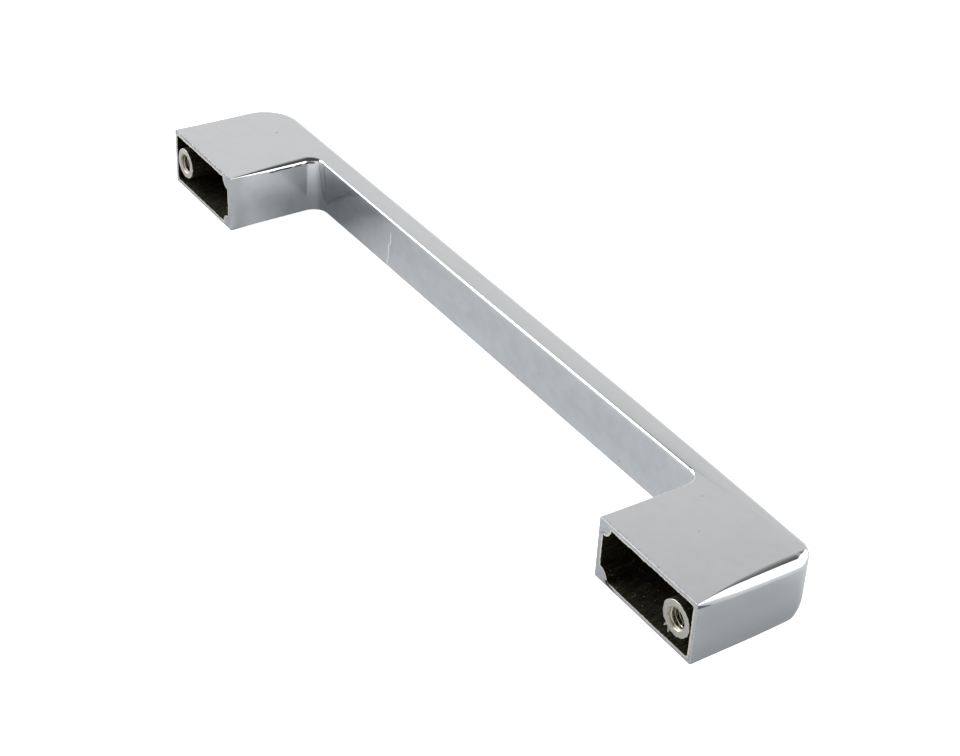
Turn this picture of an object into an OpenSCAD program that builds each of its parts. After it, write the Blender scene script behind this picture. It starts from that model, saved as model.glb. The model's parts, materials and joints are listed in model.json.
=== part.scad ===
// Bow handle for a drawer, cast in one piece and chrome plated. Millimetres.
// The feet's open mouths lie in the mounting plane, Y = 0, and the grip is on the -Y side.
// The origin is midway between the two screw holes. X runs along the grip and Z across its height.

/* [Mounting] */
// Distance between the centres of the two screw holes
hole_pitch = 160; // [96:1:320]
// Distance from a screw hole's centre to the outer end of its foot
screw_to_end = 4.2; // [4:0.05:6]
// Distance from the mounting plane to the front of the grip
projection = 23.6; // [20:0.1:40]

/* [Body] */
// Height of the feet and the grip
body_h = 11.4; // [10:0.1:18]
// Length of each foot along the handle
foot_l = 23.7; // [18:0.1:32]
// Thickness of the grip from its inner face to its front
grip_t = 3.8; // [3:0.1:8]

/* [Rounding] */
// Radius of the two outer corners, seen from above
corner_r = 6; // [3:0.1:10]
// Radius of the two inner corners between the feet and the grip
inner_r = 3.2; // [1:0.1:6]
// Rounding of the long edges round the outside
edge_r = 1.2; // [1.1:0.1:3]
// Rounding of the long edges round the finger gap
gap_edge_r = 0.4; // [0.2:0.05:1]

/* [Walls] */
// Thickness of a foot's outer end wall
end_wall = 0.8; // [0.7:0.05:1.5]
// Thickness of a foot's upper and lower walls
side_wall = 0.85; // [0.7:0.05:1.5]
// Thickness of a foot's wall next to the finger gap
inner_wall = 1.1; // [0.8:0.05:3]
// Thickness of the metal between a foot's hollow and the front
front_wall = 3.5; // [1.5:0.1:6]
// Radius of the cast posts in the hollow's two inner corners
post_r = 1.9; // [1:0.1:2.5]

/* [Screw bosses] */
// Diameter of a boss at its mouth
boss_d = 6.2; // [5.6:0.1:7]
// Draft angle on the side of a boss, in degrees
boss_draft = 1.2; // [0.5:0.1:2]
// Diameter of the hole that carries the thread's crests
tap_d = 3.3; // [2.5:0.05:4.2]
// Depth of that hole at its full diameter
tap_depth = 12; // [8:0.5:14]
// Depth of the 45 degree chamfer at the hole's mouth
tap_chamfer = 0.35; // [0.1:0.05:0.6]
// Angle of the drill point at the hole's bottom, in degrees
drill_angle = 118; // [90:1:140]

/* [Hidden] */
$fn = 96;

half_l = hole_pitch / 2 + screw_to_end;
half_gap = half_l - foot_l;
gap_depth = projection - grip_t;

hollow_h = body_h - 2 * side_wall;
hollow_depth = projection - front_wall;
hollow_corner_r = corner_r - end_wall;
// The hollow's long edges follow the outer rounding, and never come to a sharp corner
least_core_r = 0.2;
hollow_edge_r = max(edge_r - max(end_wall, side_wall), least_core_r);

boss_root_r = boss_d / 2 + hollow_depth * tan(boss_draft);
drill_point = tap_d / 2 / tan(drill_angle / 2);

// How far a cut runs past the face it opens on
past = 1;

// A solid along a U: two arms up to the mounting plane, two turns and a front.
// The child is its section, drawn from the turns' axis outwards.
module along_u(half_x, depth, turn_r, h, beyond = 0) {
    turn_x = half_x - turn_r;
    turn_y = turn_r - depth;
    translate([-turn_x, turn_y, -h / 2])
        cube([2 * turn_x, beyond - turn_y, h]);
    translate([turn_x, turn_y, 0])
        rotate([90, 0, -90])
            linear_extrude(2 * turn_x)
                children();
    for (side = [0, 1])
        mirror([side, 0, 0]) {
            translate([turn_x, beyond, 0])
                rotate([90, 0, 0])
                    linear_extrude(beyond - turn_y)
                        children();
            translate([turn_x, turn_y, 0])
                rotate([0, 0, -90])
                    rotate_extrude(angle = 90)
                        children();
        }
}

// The metal or air between a right-angled corner and the arc of radius r inside it
module corner_spandrel(r) {
    difference() {
        square([r, r]);
        circle(r);
    }
}

// Section of a bar whose two outer edges are rounded
module rounded_section(reach, h, r) {
    difference() {
        translate([0, -h / 2])
            square([reach, h]);
        for (side = [0, 1])
            mirror([0, side])
                translate([reach - r, h / 2 - r])
                    corner_spandrel(r);
    }
}

// Section of a gap through a bar, which widens where the bar's edges are rounded
module flared_section(reach, h, r) {
    translate([0, -h / 2 - past])
        square([reach, h + 2 * past]);
    for (side = [0, 1])
        mirror([0, side]) {
            translate([reach + r, h / 2 - r])
                mirror([1, 0])
                    corner_spandrel(r);
            translate([reach, h / 2])
                square([r, past]);
        }
}

// The casting before its hollows are cut: the bow with rounded outer edges
module bow() {
    difference() {
        along_u(half_l, projection, corner_r, body_h)
            rounded_section(corner_r, body_h, edge_r);
        along_u(half_gap, gap_depth, inner_r, body_h + 2 * past, past)
            flared_section(inner_r, body_h, gap_edge_r);
    }
}

// The air in both feet, before the posts and bosses take their place in it
module hollow_air() {
    intersection() {
        along_u(half_l - end_wall, hollow_depth, hollow_corner_r, hollow_h, past)
            rounded_section(hollow_corner_r, hollow_h, hollow_edge_r);
        for (side = [0, 1])
            mirror([side, 0, 0])
                translate([half_gap + inner_wall, -projection, -body_h / 2])
                    cube([foot_l, projection + past, body_h]);
    }
}

// A post in each inner corner of a foot's hollow, part of the casting
module corner_posts() {
    for (side = [0, 1], level = [0, 1])
        mirror([side, 0, 0])
            mirror([0, 0, level])
                translate([half_gap + inner_wall, past, hollow_h / 2])
                    rotate([90, 0, 0])
                        cylinder(h = projection, r = post_r);
}

// The two screw bosses. They widen towards their roots and run into the end walls there.
module bosses() {
    for (side = [-1, 1])
        translate([side * hole_pitch / 2, 0, 0])
            rotate([90, 0, 0])
                cylinder(h = hollow_depth, r1 = boss_d / 2, r2 = boss_root_r);
}

// One hole for a tapped thread: entry chamfer, straight wall and drill point
module tapped_hole() {
    rotate([90, 0, 0]) {
        cylinder(h = tap_depth, d = tap_d);
        translate([0, 0, -past])
            cylinder(h = past + tap_chamfer, r1 = tap_d / 2 + past + tap_chamfer, r2 = tap_d / 2);
        translate([0, 0, tap_depth])
            cylinder(h = drill_point, r1 = tap_d / 2, r2 = 0);
    }
}

module handle() {
    color("gainsboro")
        difference() {
            bow();
            difference() {
                hollow_air();
                corner_posts();
                bosses();
            }
            for (side = [-1, 1])
                translate([side * hole_pitch / 2, 0, 0])
                    tapped_hole();
        }
}

handle();
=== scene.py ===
"""Chromed bow handle for a drawer: the finish of every surface, and the studio it lies in. Metres.

The casting is one closed skin with ground rims and two rough hollows, rounded by hand polishing as
the real one is. Each screw boss is turned and tapped by a node tree, and joined to the casting.
"""
import json
import logging
import math
from collections.abc import Callable
from dataclasses import dataclass, field, replace
from enum import Enum
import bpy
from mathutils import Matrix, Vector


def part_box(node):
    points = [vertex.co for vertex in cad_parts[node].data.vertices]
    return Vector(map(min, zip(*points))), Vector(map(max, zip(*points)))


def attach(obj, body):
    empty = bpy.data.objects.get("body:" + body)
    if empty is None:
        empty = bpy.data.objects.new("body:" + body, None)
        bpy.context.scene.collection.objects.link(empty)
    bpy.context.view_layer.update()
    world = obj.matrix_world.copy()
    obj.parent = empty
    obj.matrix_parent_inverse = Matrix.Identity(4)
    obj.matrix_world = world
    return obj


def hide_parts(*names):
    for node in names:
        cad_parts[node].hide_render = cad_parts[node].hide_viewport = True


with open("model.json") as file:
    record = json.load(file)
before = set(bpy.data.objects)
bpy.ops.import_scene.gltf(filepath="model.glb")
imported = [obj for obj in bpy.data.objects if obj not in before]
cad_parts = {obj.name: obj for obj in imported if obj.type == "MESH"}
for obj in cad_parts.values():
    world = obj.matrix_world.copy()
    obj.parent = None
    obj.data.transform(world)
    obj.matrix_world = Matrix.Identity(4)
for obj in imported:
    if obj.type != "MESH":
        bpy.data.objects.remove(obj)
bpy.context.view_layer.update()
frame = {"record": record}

from types import SimpleNamespace

import bpy
import numpy as np
from mathutils import Matrix, Vector, noise

MM = 0.001
NODE = "handle"
BODY = "root"
# The mesh attribute that marks broken edges with 1 and the bosses with 2
FRINGE = "fringe"
ON_BOSS = 2
# The steps in degrees by which a small edge is rounded
EDGE_TURNS = (30, 60, 90)
# The part of a speck's radius within which it has its full strength
CORE = 0.4
# The least share of a direction along a panel's axis at which the panel is still ahead
AHEAD = 0.05
# The sizes of a screw boss that its node tree takes as inputs
BOSS_INPUTS = (
    "centre_x", "tap_r", "thread_r", "pitch", "thread_depth", "around", "seed", "burrs", "burr_turn",
    "burr_spread",
)

Socket = bpy.types.NodeSocket
# The name or number of a socket
Key = str | int
Triple = tuple[float, float, float]
Colour = Triple
Stops = tuple[tuple[float, float], ...]
# On X, Y and Z, in millimetres: where a mask starts, is full, is full to, and ends
Region = tuple[tuple[float, float, float, float], ...]

log = logging.getLogger("handle")


class Finish(Enum):
    """The surfaces of the handle, in the order of their material slots."""

    CHROME = 0
    GROUND = 1
    CAST = 2
    THREAD = 3


class Foot(Enum):
    """The two feet, as the sign of their side along X."""

    NEAR = -1
    FAR = 1


def math_method(operation: str, reflected: bool = False) -> Callable[..., "Value"]:
    """Makes a method of Value that adds one Math node.

    Args:
        operation: The node's operation.
        reflected: Whether the value is the last operand.

    Returns:
        The method, which takes the other operands.
    """
    def method(value: "Value", *others: "Value | float") -> "Value":
        """The node's result."""
        operands = (*others, value) if reflected else (value, *others)
        return value.graph.value("ShaderNodeMath", dict(enumerate(operands)), operation=operation)

    return method


class Value:
    """A number in a node tree, on which Python's operators make Math nodes."""

    __add__ = __radd__ = math_method("ADD")
    __sub__ = math_method("SUBTRACT")
    __rsub__ = math_method("SUBTRACT", reflected=True)
    __mul__ = __rmul__ = math_method("MULTIPLY")
    __truediv__ = math_method("DIVIDE")
    __abs__ = math_method("ABSOLUTE")
    __gt__ = math_method("GREATER_THAN")
    __lt__ = math_method("LESS_THAN")
    larger = math_method("MAXIMUM")
    floor = math_method("FLOOR")
    fraction = math_method("FRACT")
    sine = math_method("SINE")
    cosine = math_method("COSINE")
    root = math_method("SQRT")

    def __init__(self, graph: "Graph", socket: Socket) -> None:
        """Wraps one output socket of a graph."""
        self.graph = graph
        self.socket = socket

    def ramp(self, low: float, high: float, kind: str = "SMOOTHSTEP") -> "Value":
        """Maps the value from low..high to 0..1.

        Args:
            low: The value that becomes 0. It may be the larger one.
            high: The value that becomes 1.
            kind: How the map runs between them, SMOOTHSTEP or LINEAR.

        Returns:
            The mapped value, held within 0..1.
        """
        ends = {"Value": self, "From Min": min(low, high), "From Max": max(low, high)}
        mapped = self.graph.value("ShaderNodeMapRange", ends, interpolation_type=kind)
        return 1 - mapped if low > high else mapped

    def band(self, start: float, full: float, last: float, end: float) -> "Value":
        """1 where the value is from full to last, falling to 0 at start and end."""
        return self.ramp(start, full) * self.ramp(end, last)


class Graph:
    """A node tree that grows by one node at a time."""

    def __init__(self, tree: bpy.types.NodeTree) -> None:
        """Starts on a tree."""
        self.tree = tree

    def add(self, kind: str, inputs: dict | None = None, **settings: object) -> bpy.types.Node:
        """Adds one node.

        Args:
            kind: The node's type.
            inputs: Values, sockets or constants by the name or number of the input.
            settings: The node's own settings, which are set first. "stops" sets a colour ramp.

        Returns:
            The new node.
        """
        node = self.tree.nodes.new(kind)
        for name, setting in settings.items():
            if name == "stops":
                self._set_stops(node.color_ramp, setting)
            else:
                setattr(node, name, setting)
        for name, source in (inputs or {}).items():
            source = source.socket if isinstance(source, Value) else source
            if isinstance(source, Socket):
                self.tree.links.new(source, node.inputs[name])
            else:
                node.inputs[name].default_value = source
        return node

    def out(self, kind: str, inputs: dict | None = None, output: Key = 0, **settings: object) -> Socket:
        """Adds one node, as add does, and picks one of its outputs."""
        return self.add(kind, inputs, **settings).outputs[output]

    def value(self, kind: str, inputs: dict | None = None, output: Key = 0, **settings: object) -> Value:
        """Adds one node, as add does, and wraps one of its outputs."""
        return Value(self, self.out(kind, inputs, output, **settings))

    def vector(self, *parts: Value | float) -> Socket:
        """A vector of three numbers."""
        return self.out("ShaderNodeCombineXYZ", dict(enumerate(parts)))

    def axes(self, vector: Socket) -> tuple[Value, ...]:
        """The three numbers of a vector."""
        return tuple(Value(self, part) for part in self.add("ShaderNodeSeparateXYZ", {0: vector}).outputs)

    def mix(self, share: Value | float, low: object, high: object) -> Socket:
        """Mixes two colours or sockets, by the share of the second."""
        return self.out("ShaderNodeMix", {0: share, 6: opaque(low), 7: opaque(high)}, 2, data_type="RGBA")

    @staticmethod
    def _set_stops(ramp: bpy.types.ColorRamp, stops: Stops) -> None:
        """Gives a colour ramp its greys at the given places.

        Args:
            ramp: The colour ramp.
            stops: Places and greys.
        """
        while len(ramp.elements) < len(stops):
            ramp.elements.new(0.5)
        for element, (place, grey) in zip(ramp.elements, stops):
            element.position = place
            element.color = (grey, grey, grey, 1)


def opaque(colour: object) -> object:
    """A colour with its alpha of 1, or the socket that it is."""
    return (*colour, 1.0) if isinstance(colour, tuple) and len(colour) == 3 else colour


class Paint(Graph):
    """A material's node tree around one Principled BSDF, on object coordinates in millimetres."""

    def __init__(self, name: str, **constants: float) -> None:
        """Starts a material.

        Args:
            name: The material's name.
            constants: What is the same all over, by the name of the shader's input.
        """
        self.material = bpy.data.materials.new(name)
        self.material.use_nodes = True
        super().__init__(self.material.node_tree)
        self.shader = self.tree.nodes["Principled BSDF"]
        for socket, constant in constants.items():
            self.shader.inputs[socket].default_value = constant
        self.place = self.scaled(self.out("ShaderNodeTexCoord", output="Object"), (1 / MM,) * 3)
        self.x, self.y, self.z = self.axes(self.place)

    def scaled(self, vector: Socket, factors: Triple) -> Socket:
        """A vector multiplied axis by axis."""
        return self.out("ShaderNodeVectorMath", {0: vector, 1: factors}, operation="MULTIPLY")

    def noise(self, scale: float, detail: float = 2.0, stretch: Triple = (1, 1, 1)) -> Value:
        """Noise from 0 to 1 about its mean of 0.5.

        Args:
            scale: Cells in a millimetre.
            detail: Octaves.
            stretch: Factors on the three axes, small along a streak.

        Returns:
            The noise.
        """
        place = self.scaled(self.place, stretch)
        return self.value("ShaderNodeTexNoise", {"Vector": place, "Scale": scale, "Detail": detail})

    def dots(self, cell: float, radius: float, share: float) -> Value:
        """Round specks, one in some of the cells of a random grid.

        Args:
            cell: Size of a cell in millimetres.
            radius: Radius of a speck in millimetres.
            share: Share of the cells that have one.

        Returns:
            1 at the middle of a speck, falling to 0 at its edge.
        """
        cells = self.add("ShaderNodeTexVoronoi", {"Vector": self.place, "Scale": 1 / cell})
        near = Value(self, cells.outputs["Distance"]).ramp(radius / cell, CORE * radius / cell)
        chosen = self.value("ShaderNodeSeparateColor", {0: cells.outputs["Color"]}) < share
        return near * chosen

    def within(self, region: Region) -> Value:
        """1 inside a region, falling to 0 across its soft borders."""
        return math.prod(axis.band(*ends) for axis, ends in zip((self.x, self.y, self.z), region))

    def uneven(self, tint: Colour, least: float, share: Value) -> Socket:
        """A tint that darkens to a part of itself where a share is 0."""
        return self.mix(share, tuple(least * c for c in tint), tint)

    def layered(self, base: object, *layers: tuple[Value, object]) -> Socket:
        """Lays colours over each other.

        Args:
            base: The lowest colour.
            layers: The share and the colour of each layer, from below.

        Returns:
            The colour's socket.
        """
        for share, colour in layers:
            base = self.mix(share, base, colour)
        return base

    def bump(self, height: Value, depth: float) -> None:
        """Lets a height from 0 to 1, of a depth in millimetres, tilt the surface."""
        tilt = self.out("ShaderNodeBump", {"Height": height, "Distance": depth * MM})
        self.tree.links.new(tilt, self.shader.inputs["Normal"])

    def feed(self, colour: Socket, roughness: Value) -> None:
        """Links a colour and a roughness to the shader."""
        self.tree.links.new(colour, self.shader.inputs["Base Color"])
        self.tree.links.new(roughness.socket, self.shader.inputs["Roughness"])


@dataclass(frozen=True)
class ChromePlate:
    """Mirror chrome on a hand-polished casting: faint waves, a thin film, pits and one fine crack, with
    painted shade and painted reflection in a few places.

    Places and sizes are in millimetres. A pit is two of its places and its strength.
    """

    tint: Colour = (0.56, 0.572, 0.58)
    film_tint: Colour = (0.50, 0.512, 0.52)
    haze_and_reflection_tint: Colour = (0.80, 0.81, 0.82)
    chip_tint: Colour = (0.25, 0.25, 0.25)
    dash_shade_tint: Colour = (0.03, 0.03, 0.035)
    pit_and_wedge_tint: Colour = (0.10, 0.10, 0.10)
    crack_tint: Colour = (0.95, 0.96, 0.97)
    patch_tint: Colour = (0.455, 0.468, 0.485)
    low_shade_tint: Colour = (0.36, 0.37, 0.385)
    shine: float = 0.045
    grip_inside: Region = ((-60, -57, 57, 60), (-20.3, -20.1, -18, -16.5), (-5.69, -5.6, 5.1, 5.4))
    far_inside: Region = ((59, 60, 61, 62), (-20.4, -19.9, -5, -1), (-5.69, -5.6, 5.2, 5.5))
    crack_x: float = 32.9
    crack_top: float = 3.1
    crack_slope: float = -0.27
    crack_width: float = 0.17
    crack_core: float = 0.051
    crack_wander: float = 1.5
    wedge_z: float = 5.15
    wedge_slope: float = 0.22
    wedge_width: float = 0.38
    wedge_taper: float = 0.12
    wedge_x: float = -83.6
    dashes_z: float = 4.9
    dashes_width: float = 0.22
    dashes_core: float = 0.08
    top_z: float = 5.0
    pit_radius: float = 0.2
    top_pits: tuple[Triple, ...] = ((73.5, -17.2, 1.0), (-64.3, -16.6, 0.3), (-70.9, -10.7, 0.25))
    grip_pits: tuple[Triple, ...] = ((-40.0, -4.3, 0.8), (-17.0, -0.2, 0.6), (8.0, 0.4, 0.6))

    def build(self) -> bpy.types.Material:
        """Makes the material.

        Returns:
            The material.
        """
        paint = Paint("mirror_chrome", Metallic=1.0)
        far_inside, grip_inside = paint.within(self.far_inside), paint.within(self.grip_inside)
        haze = paint.noise(0.5, 4.0)
        film = (paint.noise(0.11, 3.0) * 0.6 + haze * 0.4).ramp(0.42, 0.66)
        # Pale haze patches that also paint in a brighter reflection on the far foot's inner face
        pale_haze_and_painted_reflection = (paint.noise(0.16, 3.0) * 0.7 + haze * 0.3).ramp(0.24, 0.50) * far_inside
        patches = (paint.noise(0.22, 4.0, (1.0, 1.0, 1.8)) * 0.6 + haze * 0.4).ramp(0.40, 0.62)
        chips = paint.noise(3.4, 2.0, (1.0, 0.4, 1.0)).ramp(0.54, 0.66) * paint.y.ramp(-0.6, -0.1)
        # Painted shade: the near end face darkens towards its bottom, where it mirrors the floor in its
        # shadow
        painted_low_shade = paint.z.ramp(0.5, -6.5) * paint.x.ramp(-82.6, -83.7)
        crack = self._crack(paint) * grip_inside
        pits = self._pits(paint, grip_inside)
        colour = paint.layered(
            self.tint,
            (film * 0.25, self.film_tint),
            ((patches * 0.35 + 0.1) * grip_inside, self.patch_tint),
            # Painted reflection: the pale haze lightens the far foot's inner face
            (pale_haze_and_painted_reflection * 0.95, self.haze_and_reflection_tint),
            (chips * 0.4, self.chip_tint),
            # Painted reflection: dark dashes under the far foot's inner top edge
            (self._painted_dashes(paint) * far_inside, self.dash_shade_tint),
            # Painted reflection: a dark wedge under the near end's top edge, by the mouth
            (self._painted_wedge(paint) * 0.85, self.pit_and_wedge_tint),
            (painted_low_shade * 0.5, self.low_shade_tint),
            (crack * 0.9, self.crack_tint),
            (pits * 0.85, self.pit_and_wedge_tint),
        )
        dull = film * 0.03 + pale_haze_and_painted_reflection * 0.16 + chips * 0.15 + crack * 0.4 + pits * 0.3
        paint.feed(colour, dull + self.shine)
        waves = paint.noise(0.09, 1.0) + paint.noise(1.1, 1.0) * 0.02
        ripples = paint.noise(0.42, 2.0, (0.6, 1.0, 1.0)) * grip_inside * 0.5
        paint.bump(waves + ripples - pits * 0.7 - crack * 0.3 - chips * 0.4, 0.03)
        return paint.material

    def _crack(self, paint: Paint) -> Value:
        """The fine crack, which wanders as it runs down and stops short of the top.

        Args:
            paint: The material.

        Returns:
            1 on the crack.
        """
        wander = (paint.noise(0.35, 2.0, (0.0, 0.0, 1.0)) - 0.5) * (2 * self.crack_wander)
        off_line = abs(paint.x - (paint.z * self.crack_slope + self.crack_x + wander))
        below_top = paint.z.ramp(self.crack_top, self.crack_top - 0.3)
        return off_line.ramp(self.crack_width, self.crack_core) * below_top

    def _painted_wedge(self, paint: Paint) -> Value:
        """A painted dark wedge under the near end's top edge, which narrows away from the mouth: painted
        reflection below that edge's highlight.

        Args:
            paint: The material.

        Returns:
            1 in the fold.
        """
        off_line = abs(paint.z - (paint.y * self.wedge_slope + self.wedge_z))
        inside = paint.y * self.wedge_taper + self.wedge_width - off_line
        return inside.ramp(0.0, 0.08) * (paint.x < self.wedge_x)

    def _pits(self, paint: Paint, grip_inside: Value) -> Value:
        """A few pits: some at known places on the top and on the grip's inner face, others at random.

        Args:
            paint: The material.
            grip_inside: The mask of the grip's inner face.

        Returns:
            Up to 1 in a pit, by its strength.
        """
        spots = paint.dots(5.5, 0.11, 0.16)
        known = [(paint.y, y, x, strength, paint.z > self.top_z) for x, y, strength in self.top_pits]
        known += [(paint.z, z, x, strength, grip_inside) for x, z, strength in self.grip_pits]
        for axis, place, x, strength, where in known:
            across, along = paint.x - x, axis - place
            off = (across * across + along * along).root()
            spots = spots.larger(off.ramp(self.pit_radius, CORE * self.pit_radius) * where * strength)
        return spots

    def _painted_dashes(self, paint: Paint) -> Value:
        """A broken dark line painted under the far foot's inner top edge: painted reflection, the dark breaks
        in that edge's highlight.

        Args:
            paint: The material.

        Returns:
            1 on the line.
        """
        broken = paint.noise(0.9, 1.0, (0.0, 1.0, 0.0)).ramp(0.38, 0.5)
        sway = (paint.noise(0.3, 1.0, (0.0, 1.0, 0.0)) - 0.5) * 0.4
        off_line = abs(paint.z - (sway + self.dashes_z))
        return off_line.ramp(self.dashes_width, self.dashes_core) * broken * paint.y.ramp(-7.5, -9.5)


@dataclass(frozen=True)
class GroundRim:
    """Ground metal: fine lines from the wheel, a warm fringe of broken plating, the bosses' faces, and a
    painted broken dark reflection on the far rim's top edge.
    """

    tint: Colour = (0.455, 0.468, 0.483)
    tick_tint: Colour = (0.8, 0.82, 0.84)
    break_shade_tint: Colour = (0.06, 0.06, 0.06)
    bare_tint: Colour = (0.70, 0.655, 0.57)
    boss_tint: Colour = (0.50, 0.48, 0.435)
    dull: float = 0.30

    def build(self) -> bpy.types.Material:
        """Makes the material.

        Returns:
            The material.
        """
        paint = Paint("ground_rim", Metallic=1.0)
        lines = paint.noise(3.0, 3.0, (0.12, 1.0, 2.2))
        grain = paint.noise(2.2, 3.0)
        ticks = paint.noise(4.5, 1.0, (0.15, 1.0, 1.0)).ramp(0.55, 0.68)
        fringe = paint.value("ShaderNodeAttribute", output="Fac", attribute_name=FRINGE)
        bare = (fringe + (grain - 0.5) * 0.6).ramp(0.26, 0.40)
        shade = ((lines - 0.5) * 0.5 + 0.5).ramp(0.3, 0.7)
        patchy = grain.ramp(0.35, 0.65)
        far_top = paint.z.ramp(5.45, 5.6) * (paint.x > 0)
        # Painted reflection: a broken dark line along the far rim's top edge, over the lip's highlight
        painted_dark_breaks = paint.noise(1.6, 2.0, (1.0, 0.0, 0.0)).ramp(0.40, 0.50) * far_top
        colour = paint.layered(
            paint.uneven(self.tint, 0.84, shade),
            (ticks * 0.25, self.tick_tint),
            (painted_dark_breaks * 0.85, self.break_shade_tint),
            (bare, paint.uneven(self.bare_tint, 0.80, patchy)),
            (fringe > ON_BOSS - 0.5, paint.uneven(self.boss_tint, 0.88, patchy)),
        )
        paint.feed(colour, lines * 0.2 + self.dull)
        paint.bump(lines * 0.7 + grain * 0.3, 0.03)
        return paint.material


@dataclass(frozen=True)
class CastHollow:
    """The unpolished inside of a foot: near black, grainy, with sparse grains whose bright colour paints in
    the specks of light that they catch.
    """

    dark: Colour = (0.006, 0.005, 0.002)
    brown: Colour = (0.033, 0.028, 0.017)
    grain_glint_tint: Colour = (0.30, 0.28, 0.24)

    def build(self) -> bpy.types.Material:
        """Makes the material.

        Returns:
            The material.
        """
        paint = Paint("cast_hollow", Metallic=0.0, IOR=1.25)
        mottle = paint.noise(2.6, 5.0)
        streaks = paint.noise(3.2, 3.0, (1.0, 0.12, 1.0))
        grains_and_painted_glints = paint.dots(0.42, 0.10, 0.16)
        shade = (mottle * 0.5 + streaks * 0.5).ramp(0.42, 0.66)
        colour = paint.layered(self.dark, (shade, self.brown), (grains_and_painted_glints, self.grain_glint_tint))
        paint.feed(colour, 0.75 - mottle * 0.3)
        paint.bump(mottle * 0.7 + streaks * 0.4 + grains_and_painted_glints * 0.4, 0.12)
        return paint.material


@dataclass(frozen=True)
class CutThread:
    """Cut thread: warm grey metal, with oil that darkens it in patches, and painted shade that darkens it
    down the hole.
    """

    tint: Colour = (0.46, 0.42, 0.34)
    oil_and_shade_tint: Colour = (0.09, 0.075, 0.05)

    def build(self) -> bpy.types.Material:
        """Makes the material.

        Returns:
            The material.
        """
        paint = Paint("cut_thread", Metallic=1.0)
        stain = paint.noise(0.9, 3.0).ramp(0.40, 0.7)
        # Painted shade: darker down the hole
        painted_depth_shade = paint.y.ramp(-0.5, -3.5)
        oil_and_depth_shade = 1 - (1 - stain * 0.6) * (1 - painted_depth_shade * 0.8)
        mouth = paint.y.ramp(-0.6, -0.2)
        paint.feed(paint.mix(oil_and_depth_shade, self.tint, self.oil_and_shade_tint), stain * 0.15 + mouth * 0.2 + 0.22)
        paint.bump(paint.noise(3.5, 2.0), 0.015)
        return paint.material


@dataclass
class Shell:
    """Closed surfaces as plain arrays, which can be added up to one piece.

    Attributes:
        points: Corner points, one row each.
        faces: The point numbers of each face.
        finishes: The finish of each face.
        normals: The normal at each corner of each face, in the faces' order.
        fringe: How near each point is to a broken edge, from 0 to 1, and 2 on the bosses.
    """

    points: list[Triple] = field(default_factory=list)
    faces: list[tuple[int, ...]] = field(default_factory=list)
    finishes: list[int] = field(default_factory=list)
    normals: list[Triple] = field(default_factory=list)
    fringe: list[float] = field(default_factory=list)

    def __add__(self, other: "Shell") -> "Shell":
        """Both shells as one."""
        moved = replace(other, faces=[tuple(i + len(self.points) for i in face) for face in other.faces])
        return Shell(*(mine + theirs for mine, theirs in zip(vars(self).values(), vars(moved).values())))

    def add_points(self, points: np.ndarray, fringe: float = 0.0) -> np.ndarray:
        """Adds points.

        Args:
            points: An array of points, of any number of dimensions.
            fringe: Their nearness to a broken edge.

        Returns:
            The points' numbers, in the array's form.
        """
        first = len(self.points)
        self.points.extend(map(tuple, points.reshape(-1, 3).tolist()))
        self.fringe.extend([fringe] * (len(self.points) - first))
        return np.arange(first, len(self.points)).reshape(points.shape[:-1])

    def add_face(self, face: tuple[int, ...], finish: Finish, normals: list) -> None:
        """Adds one face.

        Args:
            face: Its point numbers.
            finish: Its finish.
            normals: A normal for each corner.
        """
        self.faces.append(tuple(int(i) for i in face))
        self.finishes.append(finish.value)
        self.normals.extend(tuple(float(c) for c in normal) for normal in normals)

    def add_flat(self, face: tuple[int, ...], finish: Finish) -> None:
        """Adds one face across Y, turned to point out of the mouth.

        Args:
            face: Its point numbers.
            finish: Its finish.
        """
        corners = [Vector(self.points[i]) for i in face[:3]]
        turn = (corners[1] - corners[0]).cross(corners[2] - corners[1])
        face = face if turn.y > 0 else tuple(reversed(face))
        self.add_face(face, finish, [(0, 1, 0)] * len(face))

    def add_grid(self, rows: np.ndarray, normals: np.ndarray, finish: Finish) -> None:
        """Joins closed rows of points by quads.

        Args:
            rows: Point numbers, one row for each closed loop.
            normals: The normal at each of them.
            finish: The surface's finish.
        """
        for i in range(len(rows) - 1):
            for j in range(rows.shape[1]):
                k = (j + 1) % rows.shape[1]
                corners = ((i, j), (i, k), (i + 1, k), (i + 1, j))
                self.add_face(tuple(rows[c] for c in corners), finish, [normals[c] for c in corners])

    def to_object(self, name: str, materials: list[bpy.types.Material]) -> bpy.types.Object:
        """Makes a mesh object at the origin.

        Args:
            name: The object's name.
            materials: The materials in the order of Finish.

        Returns:
            The object, linked to the scene.
        """
        mesh = bpy.data.meshes.new(name)
        mesh.from_pydata(self.points, [], self.faces)
        for material in materials:
            mesh.materials.append(material)
        mesh.polygons.foreach_set("material_index", self.finishes)
        mesh.attributes.new(FRINGE, "FLOAT", "POINT").data.foreach_set("value", self.fringe)
        mesh.shade_smooth()
        mesh.normals_split_custom_set(self.normals)
        return add_to_scene(name, mesh)


def add_to_scene(name: str, data: bpy.types.ID) -> bpy.types.Object:
    """Makes an object at the origin and links it to the scene.

    Args:
        name: The object's name.
        data: Its mesh or camera.

    Returns:
        The object.
    """
    made = bpy.data.objects.new(name, data)
    bpy.context.collection.objects.link(made)
    return made


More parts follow.
